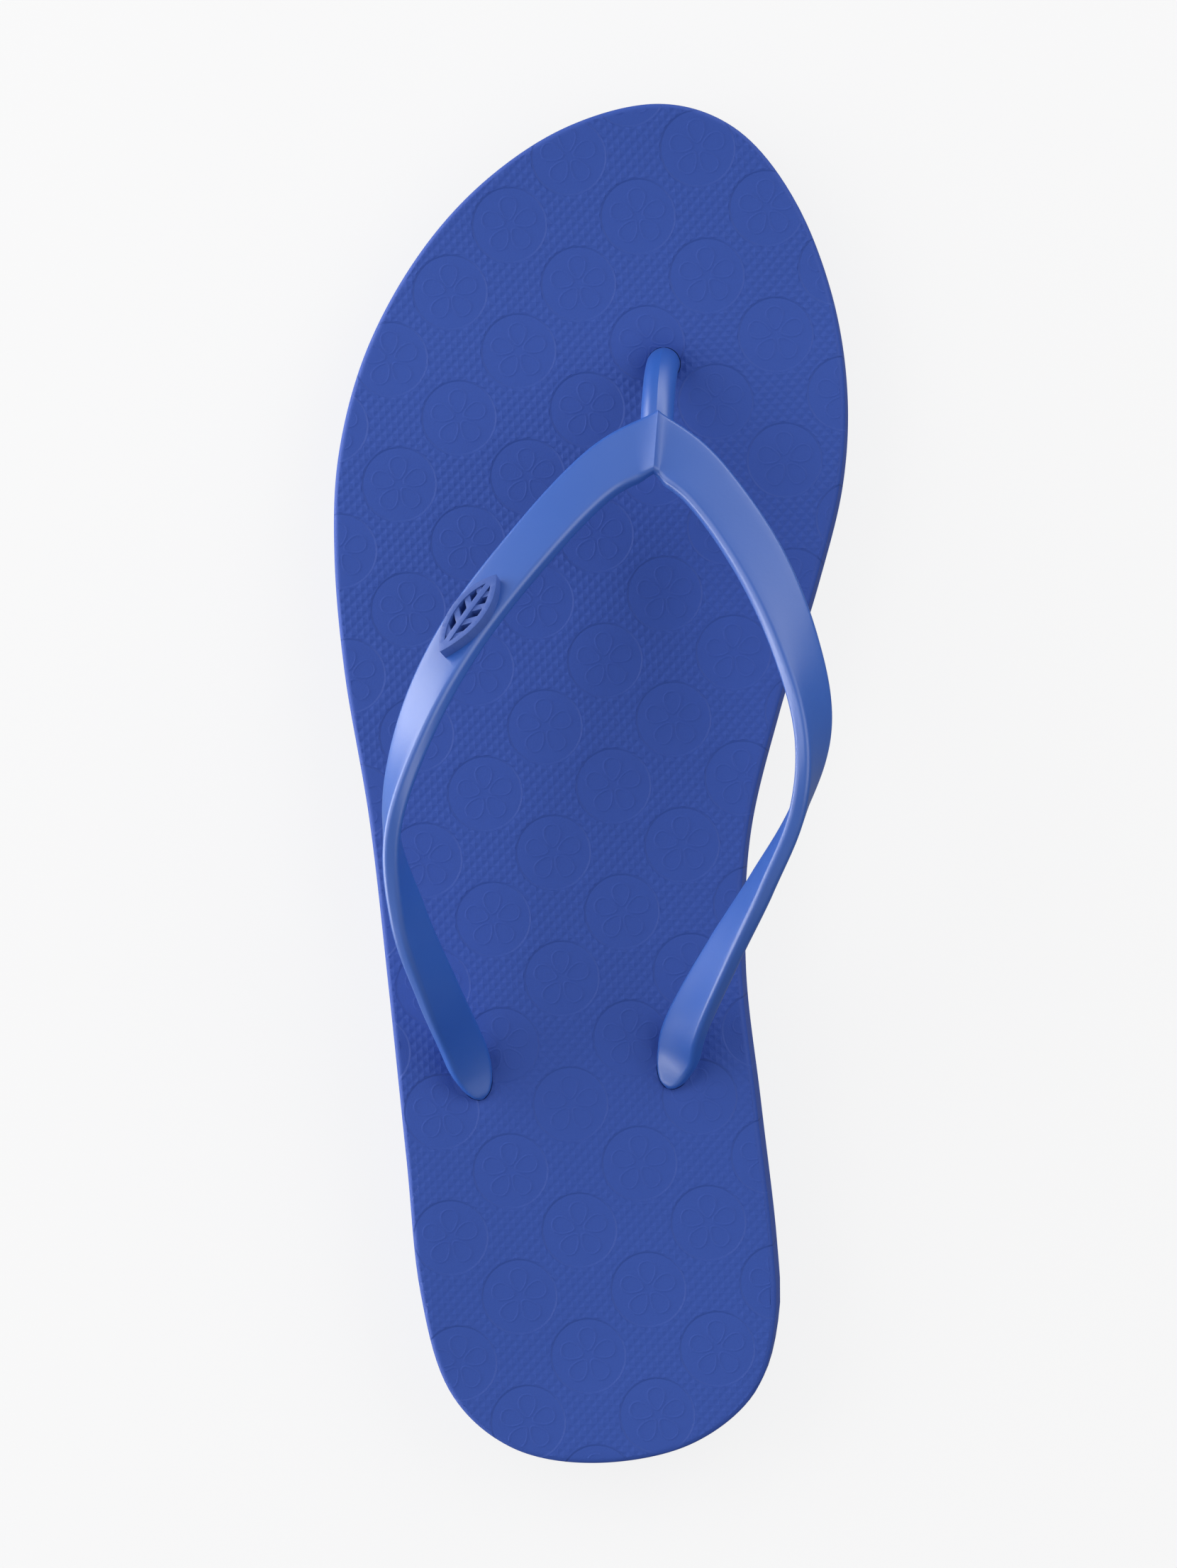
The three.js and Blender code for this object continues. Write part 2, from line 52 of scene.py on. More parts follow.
LENGTH_SHARE = 0.867  # the shoe's length as a share of the view's height
CAMERA_HEIGHT = 1.15
CAMERA_ASIDE = 0.055  # to the inner side
CAMERA_CLIP = 0.05
FOOTBED_LEVEL = 0.015  # the camera looks at the sole's middle at this height

sole_low, sole_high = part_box("sole")
sole_middle = Vector((0, (sole_low.y + sole_high.y) / 2, FOOTBED_LEVEL))

lens = bpy.data.cameras.new("camera")
camera = bpy.data.objects.new("camera", lens)
bpy.context.collection.objects.link(camera)
camera.location = (CAMERA_ASIDE, sole_middle.y, CAMERA_HEIGHT)
camera.rotation_euler = (0, atan(CAMERA_ASIDE / (CAMERA_HEIGHT - FOOTBED_LEVEL)), 0)
distance = (camera.location - sole_middle).length
view_height = (sole_high.y - sole_low.y) / LENGTH_SHARE
lens.lens = lens.sensor_width * distance / view_height
lens.clip_start = CAMERA_CLIP
bpy.context.scene.camera = camera


class Shade:
    """A socket of a material's nodes. Python's operators on it add Math nodes."""

    def __init__(self, tree, socket=None):
        self.tree = tree
        self.socket = socket

    def node(self, kind, settings=None, inputs=None, output=0):
        """Adds a node of this type, sets it up, then gives its sockets values or links."""
        made = self.tree.nodes.new("ShaderNode" + kind)
        for key, value in (settings or {}).items():
            if key == "stops":
                ramp = made.color_ramp.elements
                while len(ramp) < len(value):
                    ramp.new(0.5)
                for stop, (position, colour) in zip(ramp, value):
                    stop.position = position
                    stop.color = (*colour, 1)
            else:
                setattr(made, key, value)
        for key, value in (inputs or {}).items():
            if isinstance(value, Shade):
                self.tree.links.new(value.socket, made.inputs[key])
            else:
                made.inputs[key].default_value = value
        return None if output is None else Shade(self.tree, made.outputs[output])

    def math(self, operation, first, second=0.0):
        return self.node("Math", {"operation": operation}, {0: first, 1: second})

    def __add__(self, other):
        return self.math("ADD", self, other)

    __radd__ = __add__

    def __sub__(self, other):
        return self.math("SUBTRACT", self, other)

    def __rsub__(self, other):
        return self.math("SUBTRACT", other, self)

    def __mul__(self, other):
        return self.math("MULTIPLY", self, other)

    __rmul__ = __mul__

    def __truediv__(self, other):
        return self.math("DIVIDE", self, other)


def new_material(name):
    """An empty material and the Shade that starts its nodes."""
    material = bpy.data.materials.new(name)
    material.use_nodes = True
    material.node_tree.nodes.clear()
    return material, Shade(material.node_tree)


def end_material(shade, surface):
    """Joins a finished surface to the material's output."""
    shade.node("OutputMaterial", None, {"Surface": surface}, None)


def add_light(name, place, aim, size, power, colour):
    """An oblong softbox that faces a point. Sizes are in metres and power in watts."""
    data = bpy.data.lights.new(name, "AREA")
    data.shape = "RECTANGLE"
    data.size, data.size_y = size
    data.energy = power
    data.color = colour
    light = bpy.data.objects.new(name, data)
    bpy.context.collection.objects.link(light)
    light.location = place
    towards = Vector(aim) - Vector(place)
    light.rotation_euler = towards.to_track_quat("-Z", "Y").to_euler()


add_light(
    "window", place=(-0.5, 0.05, -0.02), aim=(0, 0.05, 0.03), size=(1.0, 0.36), power=5.6,
    colour=(1, 0.985, 0.97),
)
add_light(
    "left softbox", place=(-0.85, 0.35, 0.85), aim=(0, 0, 0), size=(1.2, 0.8), power=4.8,
    colour=(1, 1, 1),
)
add_light(
    "right softbox", place=(0.75, 0.3, 0.8), aim=(0, 0, 0), size=(1.2, 0.7), power=4.4,
    colour=(0.98, 0.99, 1),
)
add_light(
    "back softbox", place=(0.28, 0.62, 0.05), aim=(0, 0.05, 0.02), size=(0.6, 0.3), power=1.5,
    colour=(0.98, 0.98, 1),
)

# The room: a dim floor, darkest at eye level, and its light walls and ceiling.
world = bpy.data.worlds.new("room")
bpy.context.scene.world = world
world.use_nodes = True
world.node_tree.nodes.clear()
shade = Shade(world.node_tree)
ray = shade.node("SeparateXYZ", None, {0: shade.node("TexCoord", None, None, 0)}, 2)
room = shade.node("ValToRGB", {"stops": [
    (0.0, (0.22, 0.22, 0.23)), (0.5, (0.16, 0.16, 0.18)), (0.72, (0.62, 0.62, 0.64)),
    (1.0, (0.4, 0.4, 0.42)),
]}, {"Fac": 0.5 + 0.5 * ray})
shade.node("OutputWorld", None, {
    "Surface": shade.node("Background", None, {"Color": room, "Strength": 1.0}),
}, None)
bpy.context.scene.view_settings.view_transform = "Standard"

TABLE_HALF_SIDE = 6

# The paper glows by itself, so that it stays white under the shoe without lighting the shoe.
paper, shade = new_material("table_paper")
end_material(shade, shade.node("BsdfPrincipled", None, {
    "Base Color": (0.12, 0.12, 0.12, 1),
    "Roughness": 0.9,
    "Specular IOR Level": 0.1,
    "Emission Color": (1, 1, 1, 1),
    "Emission Strength": 0.82,
}))
bm = bmesh.new()
bmesh.ops.create_grid(bm, x_segments=1, y_segments=1, size=TABLE_HALF_SIDE)
bmesh.ops.translate(bm, verts=bm.verts[:], vec=(0, 0, sole_low.z))


def add_piece(name, bm, material=None, smooth_angle=None):
    """Ends a bmesh as an object at the origin, smooth where faces turn by less than an angle."""
    mesh = bpy.data.meshes.new(name)
    bm.to_mesh(mesh)
    bm.free()
    if smooth_angle is not None:
        mesh.shade_smooth()
        mesh.set_sharp_from_angle(angle=radians(smooth_angle))
    if material is not None:
        mesh.materials.append(material)
    piece = bpy.data.objects.new(name, mesh)
    bpy.context.collection.objects.link(piece)
    return piece


table = add_piece("table", bm, paper)
table.visible_glossy = table.visible_diffuse = table.visible_shadow = False

# ---------------------------------------------------------------- strap: the two arms
# One slim thong of soft vinyl, injection moulded in one with its toe post and plugs. Each arm
# leaves the V lying flat, rolls onto its edge beside the instep and ends in the foam, turned over.

STRAP_WIDTH = 9.7 * MM
STRAP_THICKNESS = 2.9 * MM
STRAP_EDGE = 1.0 * MM  # radius of the band's long edges
FACE_CROWN = 0.12 * MM  # the faces swell this much in the middle
TONGUE_LENGTH = 11 * MM
INSTEP = 41  # millimetres that a rise of 1 stands for
MITRE = 9 * MM  # the arm's section turns square to it within this length of the crease
PINCH = {1: 4.5 * MM, -1: 2.2 * MM}  # on the outer and the inner arm
CREASE_LIFT = 1.0 * MM
CREASE_HEADING = Vector((-0.06, -1, 0)).normalized()

# From the crease to the tip: plan place in millimetres, rise above the footbed, roll in degrees
# and share of the strap's width.
CREASE = (13.2, 61.7, 0.52, 24, 1.27)
OUTER_ARM = [
    CREASE,
    (2.8, 55.5, 0.57, 27, 1.07),
    (-8.8, 42.9, 0.71, 32, 1.04),
    (-21, 26.4, 0.85, 36, 1.02),
    (-29, 9.5, 0.96, 53, 1),
    (-33, -8, 0.97, 83, 0.98),
    (-30.6, -23.5, 0.81, 119, 0.95),
    (-26.2, -37.2, 0.5, 139, 0.9),
    (-23.1, -46.4, 0.19, 148, 0.88),
    (-21.1, -52.4, 0.04, 153, 0.88),
    (-19.6, -57.8, -0.02, 157, 0.88),
]
INNER_ARM = [
    CREASE,
    (22.5, 53.6, 0.6, 25, 1.07),
    (31.8, 40.2, 0.73, 28, 1.05),
    (38.4, 25, 0.86, 38, 1),
    (41.6, 10, 0.95, 60, 1.02),
    (39.2, -4.3, 0.95, 90, 0.98),
    (32.8, -17.5, 0.81, 108, 0.98),
    (25.4, -30.5, 0.54, 125, 0.97),
    (18.9, -42.8, 0.23, 142, 0.94),
    (16.5, -49.9, 0.045, 150, 0.93),
    (15, -55.7, -0.02, 154, 0.92),
]

SOLE_LENGTH = sole_high.y - sole_low.y
BALL_WIDTH = sole_high.x - sole_low.x
HEEL_THICKNESS = 18.5 * MM
FOREFOOT_THICKNESS = 14 * MM
TOE_SPRING = 6 * MM
SPRING_START = 0.33 * SOLE_LENGTH
HEEL_DISH = 0.8 * MM
FALL_FROM, FALL_TO = -0.26 * SOLE_LENGTH, 0.16 * SOLE_LENGTH  # from heel to forefoot thickness
DISH_FRONT = (-0.44 * SOLE_LENGTH, -0.16 * SOLE_LENGTH)  # where the heel's dish fades, ahead
DISH_BACK = (-0.5 * SOLE_LENGTH, -0.4 * SOLE_LENGTH)  # and behind
DISH_HALF_WIDTH = 0.3 * BALL_WIDTH


def smooth_step(value, start, end):
    """0 up to the start and 1 from the end on, with a soft rise between."""
    share = min(1, max(0, (value - start) / (end - start)))
    return share * share * (3 - 2 * share)


def toe_spring(y):
    """How far the front of the shoe curls up off the ground."""
    return TOE_SPRING * max(0, (y - SPRING_START) / (SOLE_LENGTH / 2 - SPRING_START)) ** 2


def footbed(x, y):
    """Height of the moulded footbed before anything presses into it."""
    fall = smooth_step(y, FALL_FROM, FALL_TO)
    across = min(1, abs(x) / DISH_HALF_WIDTH)
    heel = 1 - smooth_step(y, *DISH_FRONT)
    back = smooth_step(y, *DISH_BACK)
    level = HEEL_THICKNESS + (FOREFOOT_THICKNESS - HEEL_THICKNESS) * fall
    return level + toe_spring(y) - HEEL_DISH * heel * back * (1 - across * across)


def above_footbed(x, y, rise):
    """The point over a plan place in millimetres, at a rise counted in insteps."""
    return Vector((x * MM, y * MM, footbed(x * MM, y * MM) + rise * INSTEP * MM))


def through(points, at, closed=False):
    """The smooth curve through a list of vectors, at a place counted in points."""
    count = len(points)
    first = min(int(floor(at)), count - (1 if closed else 2))
    t = at - first
    if closed:
        a, b, c, d = (points[(first + k) % count] for k in (-1, 0, 1, 2))
    else:
        b, c = points[first], points[first + 1]
        a = points[first - 1] if first > 0 else 2 * b - c
        d = points[first + 2] if first + 2 < count else 2 * c - b
    start, end = (c - a) / 2, (d - b) / 2
    return (
        (2 * t**3 - 3 * t**2 + 1) * b
        + (t**3 - 2 * t**2 + t) * start
        + (3 * t**2 - 2 * t**3) * c
        + (t**3 - t**2) * end
    )


class Arm:
    """One arm of the strap, measured by the length along it from the crease."""

    STEPS = 600
    NEAR = 0.01  # how far apart, in stations, the points are that give the arm's direction

    def __init__(self, stations, side):
        self.side = side
        self.places = [above_footbed(x, y, rise) for x, y, rise, _, _ in stations]
        self.turns = [Vector((roll, width, 0)) for _, _, _, roll, width in stations]
        self.lengths = [0.0]
        before = self.places[0]
        for step in range(1, self.STEPS + 1):
            here = through(self.places, self.spread(step))
            self.lengths.append(self.lengths[-1] + (here - before).length)
            before = here
        self.length = self.lengths[-1]

    def spread(self, step):
        """The place of a step, counted in stations."""
        return step / self.STEPS * (len(self.places) - 1)

    def place(self, length):
        """The place of a length, counted in stations."""
        length = min(max(length, 0), self.length)
        step = max(1, bisect.bisect_left(self.lengths, length))
        before, after = self.lengths[step - 1], self.lengths[step]
        return self.spread(step - 1 + (length - before) / (after - before))

    def frame(self, length):
        """Centre, along, across from front to rear edge, out of the outer face, and width."""
        place = self.place(length)
        centre = through(self.places, place)
        last = len(self.places) - 1
        ahead = through(self.places, min(last, place + self.NEAR))
        behind = through(self.places, max(0, place - self.NEAR))
        along = (ahead - behind).normalized()
        roll, width, _ = through(self.turns, place)
        square = smooth_step(length, 0, MITRE)
        inward = Vector((-along.y, along.x, 0)).normalized() * self.side
        inward = CREASE_HEADING.lerp(inward, square).normalized()
        up = Vector((0, 0, 1))
        upright = up.lerp((up - along * along.z).normalized(), square).normalized()
        across = inward * cos(radians(roll)) + upright * sin(radians(roll))
        out = upright * cos(radians(roll)) - inward * sin(radians(roll))
        centre.z += CREASE_LIFT * max(0, 1 - length / PINCH[self.side]) ** 2
        return centre, along, across, out, width * STRAP_WIDTH


outer_arm = Arm(OUTER_ARM, 1)
inner_arm = Arm(INNER_ARM, -1)


ROUNDEST = 0.95  # a corner's radius is at most this share of the band's half width or thickness
FACE_SHARES = (0.66, 0.33, 0, -0.33, -0.66)  # where each face has points, from its middle


def band_section(half_width, half_thickness, radius):
    """The band cut across: a rectangle with rounded corners and softly swelling faces."""
    radius = min(radius, ROUNDEST * half_width, ROUNDEST * half_thickness)
    points = []
    for sx, sy, start in ((1, 1, 0), (-1, 1, 90), (-1, -1, 180), (1, -1, 270)):
        for turn in range(0, 91, 15):
            angle = radians(start + turn)
            a = sx * (half_width - radius) + radius * cos(angle)
            b = sy * (half_thickness - radius) + radius * sin(angle)
            points.append((a, b))
        if sx == sy:
            flat = half_width - radius
            points += [(sx * share * flat, sy * half_thickness) for share in FACE_SHARES]
    swell = FACE_CROWN * min(1, half_width / (0.4 * STRAP_WIDTH))
    return [
        (a, b + (swell if b > 0 else -swell) * (1 - (a / half_width) ** 2)) for a, b in points
    ]


def add_ring(bm, points):
    """A closed ring of new points. Returns its edges."""
    verts = [bm.verts.new(point) for point in points]
    return [bm.edges.new((verts[k - 1], verts[k])) for k in range(len(verts))]


def skin(bm, rings):
    """Bridges each ring to the next and closes both ends."""
    loops = [add_ring(bm, points) for points in rings]
    for near, far in zip(loops, loops[1:]):
        bmesh.ops.bridge_loops(bm, edges=near + far)
    bmesh.ops.holes_fill(bm, edges=loops[0] + loops[-1])
    bmesh.ops.recalc_face_normals(bm, faces=bm.faces[:])
    return loops


TIP_THINNING = 0.85  # how much of its thickness the band loses at its very tip, squared


def band_ring(arm, length, grow=0):
    """The band's section at a length, rounded off over the tongue and grown by a gap."""
    centre, along, across, out, width = arm.frame(length)
    tongue = max(0, 1 - (arm.length - length) / TONGUE_LENGTH)
    half_width = width / 2 * sqrt(1 - tongue**2) + grow
    tip = max(0, 1 - (arm.length - length) / (0.5 * STRAP_THICKNESS))
    half_thickness = STRAP_THICKNESS / 2 * sqrt(1 - TIP_THINNING * tip**2) + grow
    centre = centre + along * grow * tongue
    section = band_section(half_width, half_thickness, STRAP_EDGE + grow)
    return [centre + across * a + out * b for a, b in section]


RING_STEP = 0.9 * MM
CLOSING_LENGTH = 3 * MM  # the rings draw together over this end of the tongue
CLOSING_STEPS = 12
LAST_RING = 0.02 * MM  # before the tip


def ring_lengths(arm):
    """Even steps along the arm, closing up over the last part of the tongue."""
    even_length = arm.length - CLOSING_LENGTH
    steps = round(even_length / RING_STEP)
    even = [even_length * k / steps for k in range(1, steps + 1)]
    turns = [pi / 2 * k / CLOSING_STEPS for k in range(1, CLOSING_STEPS)]
    ends = [arm.length - CLOSING_LENGTH * cos(turn) ** 2 for turn in turns]
    return even + [min(end, arm.length - LAST_RING) for end in ends]


def band():
    """Both arms as one body, with a sharp crease where they meet."""
    rings = [band_ring(inner_arm, length) for length in reversed(ring_lengths(inner_arm))]
    rings.append(band_ring(outer_arm, 0))
    crease = len(rings) - 1
    rings += [band_ring(outer_arm, length) for length in ring_lengths(outer_arm)]
    bm = bmesh.new()
    loops = skin(bm, rings)
    for edge in loops[crease]:
        edge.smooth = False
    return bm


# The post's centre line, up out of the sole and back to a root under the V: plan place in
# millimetres and rise above the footbed.
POST = [
    (13.8, 77.3, -0.07),
    (13.8, 77.2, 0.02),
    (13.7, 76.3, 0.12),
    (13.5, 73.7, 0.24),
    (13.3, 68.8, 0.37),
    (13.2, 62.6, 0.48),
]
POST_RADIUS = 3 * MM
SEAM_RIDGE = 0.07 * MM  # the mould's parting line stands up this far along the post
POST_SIDES = 48
POST_STEPS = 36
DOME_TURNS = range(15, 90, 15)  # degrees; the post's hidden end is a dome
PLUG_SIDES = 56
PLUG_STEM_RADIUS = 3.2 * MM
PLUG_DISC_RADIUS = 7.5 * MM
PLUG_DISC_THICKNESS = 2.2 * MM
PLUG_DISC_RAISE = 0.6 * MM
PLUG_DISC_EDGE = 0.5 * MM
PLUG_WELD = 0.4 * MM  # the stem's top lies this far under the tongue's centre line
FOOT_WELD = 1 * MM  # and this far above the post's foot
MERGE_WITHIN = 0.002 * MM
WELL_BELOW = 0.02  # a cutter starts this far below the ground
ARCH_LIFT = 1.8 * MM
ARCH_FROM, ARCH_TO = -0.12 * SOLE_LENGTH, 0.15 * SOLE_LENGTH


def underside(y):
    """Height of the sole's underside: flat at heel and ball, lifted at waist and toe."""
    waist = min(1, max(0, (y - ARCH_FROM) / (ARCH_TO - ARCH_FROM)))
    return toe_spring(y) + ARCH_LIFT * sin(pi * waist) ** 2


def post_rings(grow=0):
    """Round sections up the post, then its dome."""
    places = [above_footbed(*station) for station in POST]
    last = len(places) - 1
    sections = [(last * k / POST_STEPS, 0) for k in range(POST_STEPS + 1)]
    sections += [(last, turn) for turn in DOME_TURNS]
    rings = []
    for place, dome in sections:
        ahead = through(places, min(last, place + 0.02))
        behind = through(places, max(0, place - 0.02))
        along = (ahead - behind).normalized()
        top = Vector((1, 0, 0)).cross(along).normalized()
        side = along.cross(top)
        radius = POST_RADIUS + grow
        centre = through(places, place) + along * radius * sin(radians(dome))
        radius *= cos(radians(dome))
        ring = []
        for k in range(POST_SIDES):
            angle = 2 * pi * k / POST_SIDES
            reach = radius + (SEAM_RIDGE if k == 0 and not dome and not grow else 0)
            ring.append(centre - top * reach * cos(angle) + side * reach * sin(angle))
        rings.append(ring)
    return rings


def turn_profile(bm, profile, x, y):
    """Spins (radius, height) pairs about an upright axis into a closed body."""
    verts = [bm.verts.new((x + radius, y, z)) for radius, z in profile]
    edges = [bm.edges.new(pair) for pair in zip(verts, verts[1:])]
    bmesh.ops.spin(
        bm, geom=verts + edges, cent=(x, y, 0), axis=(0, 0, 1), angle=2 * pi,
        steps=PLUG_SIDES, use_merge=True,
    )
    bmesh.ops.remove_doubles(bm, verts=bm.verts[:], dist=MERGE_WITHIN)
    bmesh.ops.recalc_face_normals(bm, faces=bm.faces[:])


def plugs():
    """Place, height of the stem's top and stem radius: under the toe post, then in each tongue."""
    foot = above_footbed(*POST[0])
    found = [(foot.x, foot.y, foot.z + FOOT_WELD, POST_RADIUS)]
    for arm in (outer_arm, inner_arm):
        centre = arm.frame(arm.length - 0.45 * TONGUE_LENGTH)[0]
        found.append((centre.x, centre.y, centre.z - PLUG_WELD, PLUG_STEM_RADIUS))
    return found


def plug_body(plug, grow=0):
    """A stem and its disc, or with a gap to grow by, the plain hole that they need."""
    x, y, top, stem = plug
    floor = underside(y) + PLUG_DISC_RAISE
    shoulder = floor + PLUG_DISC_THICKNESS + grow
    disc = PLUG_DISC_RADIUS + grow
    bm = bmesh.new()
    if grow:
        turn_profile(bm, [
            (0, -WELL_BELOW), (disc, -WELL_BELOW), (disc, shoulder),
            (stem + grow, shoulder), (stem + grow, top), (0, top),
        ], x, y)
        return bm
    edge = PLUG_DISC_EDGE
    # From the middle out: a dimple, a plain field, a ring groove, the rim, and up to the stem.
    turn_profile(bm, [
        (0, floor + 0.35 * MM), (0.9 * MM, floor + 0.35 * MM), (1.2 * MM, floor),
        (4.3 * MM, floor), (4.5 * MM, floor + 0.3 * MM), (5.3 * MM, floor + 0.3 * MM),
        (5.5 * MM, floor), (disc - edge, floor), (disc - 0.3 * edge, floor + 0.3 * edge),
        (disc, floor + edge), (disc, shoulder - edge), (disc - 0.3 * edge, shoulder - 0.3 * edge),
        (disc - edge, shoulder), (stem, shoulder), (stem, top), (0, top),
    ], x, y)
    return bm


def combine(piece, operation, bm, solver="MANIFOLD"):
    """Joins a bmesh to a piece, cuts it away, or keeps what they share, and keeps the result."""
    tool = add_piece("tool", bm)
    modifier = piece.modifiers.new("combine", "BOOLEAN")
    modifier.operation = operation
    modifier.solver = solver
    modifier.object = tool
    graph = bpy.context.evaluated_depsgraph_get()
    before = piece.data
    piece.data = bpy.data.meshes.new_from_object(piece.evaluated_get(graph))
    piece.data.name = before.name
    piece.data.materials.clear()
    piece.modifiers.remove(modifier)
    tool_mesh = tool.data
    bpy.data.objects.remove(tool)
    bpy.data.meshes.remove(before)
    bpy.data.meshes.remove(tool_mesh)


def post_body(grow=0):
    """The post alone."""
    bm = bmesh.new()
    skin(bm, post_rings(grow))
    return bm


STRAP_SHARP = 24  # degrees; faces that turn by more meet in a sharp edge

strap = add_piece("strap_vinyl", band())
combine(strap, "UNION", post_body())
for plug in plugs():
    combine(strap, "UNION", plug_body(plug))
strap.data.shade_smooth()
strap.data.set_sharp_from_angle(angle=radians(STRAP_SHARP))

# Satin vinyl: even blue all through, a little light in it, with a faint orange peel, a soft
# mottle of gloss where the mould was polished, and hairline rubs.
VINYL_BLUE = (0.021, 0.104, 0.440)
VINYL_DEEP = (0.018, 0.095, 0.405)

vinyl, shade = new_material("satin_vinyl")
spot = shade.node("TexCoord", None, None, 3)
mottle = shade.node("TexNoise", None, {"Vector": spot, "Scale": 90.0, "Detail": 3.0})
peel = shade.node("TexNoise", None, {"Vector": spot, "Scale": 1400.0, "Detail": 2.0})
stretched = shade.node("Mapping", None, {"Vector": spot, "Scale": (2.4, 0.25, 1.0)})
rubs = shade.node("TexNoise", None, {"Vector": stretched, "Scale": 900.0, "Detail": 4.0})
rub_mask = shade.node("ValToRGB", {"stops": [(0.62, (0, 0, 0)), (0.72, (1, 1, 1))]}, {"Fac": rubs})
colour = shade.node("Mix", {"data_type": "RGBA"}, {
    0: mottle, 6: (*VINYL_DEEP, 1), 7: (*VINYL_BLUE, 1),
}, 2)
gloss = 0.35 + 0.08 * mottle + 0.05 * rub_mask
relief = shade.node("Bump", None, {
    "Height": peel + 0.5 * mottle, "Strength": 0.12, "Distance": 0.0001,
})
end_material(shade, shade.node("BsdfPrincipled", None, {
    "Base Color": colour,
    "Roughness": gloss,
    "Normal": relief,
    "IOR": 1.52,
    "Specular IOR Level": 0.8,
    "Coat Weight": 0.25,
    "Coat Roughness": 0.35,
    "Subsurface Weight": 0.12,
    "Subsurface Radius": (0.2, 0.5, 1.0),
    "Subsurface Scale": 0.0012,
}))
strap.data.materials.append(vinyl)
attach(strap, "root")
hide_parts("strap")

# ---------------------------------------------------------------- badge
# A small openwork leaf of matt vinyl, cast flat with a rim, a midrib and slanted veins, then
# bent over the outer arm and welded to its face with the leaf's tip towards the V.

BADGE_LENGTH = 17.5 * MM
BADGE_WIDTH = 7.2 * MM
BADGE_TOP = 2.2 * MM  # above the strap's face
BADGE_SUNK = 0.1 * MM
BADGE_BAR = 1.1 * MM
BADGE_MIDDLE = 48.5 * MM  # length along the outer arm from the crease
BADGE_SHIFT = 0.8 * MM  # the midrib lies this far behind the arm's centre line
VEIN_PAIRS = 4
VEIN_SLANT = radians(50)
VEIN_TOP = 0.87  # share of the leaf's height
BADGE_EDGE = 0.16 * MM
ARC_STEPS = 28

half_length, half_width = BADGE_LENGTH / 2, BADGE_WIDTH / 2
arc_radius = (half_length**2 + half_width**2) / (2 * half_width)
arc_offset = arc_radius - half_width


def leaf_outline(inset):
    """Two arcs that meet in a point at each end, drawn in by an inset."""
    radius = arc_radius - inset
    reach = acos(arc_offset / radius)
    points = []
    for side in (-1, 1):
        for k in range(ARC_STEPS):
            angle = side * pi / 2 - reach + 2 * reach * k / ARC_STEPS
            points.append((radius * cos(angle), radius * sin(angle) - side * arc_offset))
    return points


def leaf_rim():
    """The leaf's rim, an even wall round its outline."""
    bm = bmesh.new()
    outer = add_ring(bm, [(x, y, -BADGE_SUNK) for x, y in leaf_outline(0)])
    inner = add_ring(bm, [(x, y, -BADGE_SUNK) for x, y in leaf_outline(BADGE_BAR)])
    bmesh.ops.bridge_loops(bm, edges=outer + inner)
    base = bm.faces[:]
    raised = bmesh.ops.extrude_face_region(bm, geom=base, use_keep_orig=True)["geom"]
    verts = [item for item in raised if isinstance(item, bmesh.types.BMVert)]
    bmesh.ops.translate(bm, verts=verts, vec=(0, 0, BADGE_SUNK + BADGE_TOP))
    bmesh.ops.recalc_face_normals(bm, faces=bm.faces[:])
    return bm


def leaf_bar(start, end, top):
    """A straight rib from one level point to another."""
    run = Vector(end) - Vector(start)
    centre = (Vector(end) + Vector(start)) / 2
    height = top + BADGE_SUNK
    turn = Matrix.Rotation(run.to_2d().angle_signed(Vector((1, 0))), 3, "Z")
    bm = bmesh.new()
    bmesh.ops.create_cube(bm, size=1)
    bmesh.ops.scale(bm, verts=bm.verts[:], vec=(run.length, BADGE_BAR, height))
    bmesh.ops.rotate(bm, verts=bm.verts[:], matrix=turn)
    middle_height = height / 2 - BADGE_SUNK
    bmesh.ops.translate(bm, verts=bm.verts[:], vec=(centre.x, centre.y, middle_height))
    return bm


badge = add_piece("leaf_badge", leaf_rim())
tip = half_length - 1.2 * BADGE_BAR
combine(badge, "UNION", leaf_bar((-tip, 0, 0), (tip, 0, 0), BADGE_TOP))
for pair in range(VEIN_PAIRS):
    root = half_length - (pair + 1) * BADGE_LENGTH / (VEIN_PAIRS + 1.5)
    for side in (-1, 1):
        # A vein ends where its line meets the arc along the middle of the rim.
        b = arc_offset * sin(VEIN_SLANT) - root * cos(VEIN_SLANT)
        c = root**2 + arc_offset**2 - (arc_radius - BADGE_BAR / 2) ** 2
        reach = -b + sqrt(b * b - c)
        end = (root - reach * cos(VEIN_SLANT), side * reach * sin(VEIN_SLANT), 0)
        combine(badge, "UNION", leaf_bar((root, 0, 0), end, VEIN_TOP * BADGE_TOP))

bm = bmesh.new()
bm.from_mesh(badge.data)
bmesh.ops.dissolve_limit(
    bm, angle_limit=radians(1), verts=bm.verts[:], edges=bm.edges[:], use_dissolve_boundaries=False
)
edges = [edge for edge in bm.edges if edge.is_manifold and edge.calc_face_angle() > radians(40)]
edges = [edge for edge in edges if max(vert.co.z for vert in edge.verts) > 0]
bmesh.ops.bevel(
    bm, geom=edges, offset=BADGE_EDGE, offset_type="OFFSET", affect="EDGES", segments=2,
    profile=0.5, material=-1, clamp_overlap=True,
)
bmesh.ops.triangulate(bm, faces=bm.faces[:])
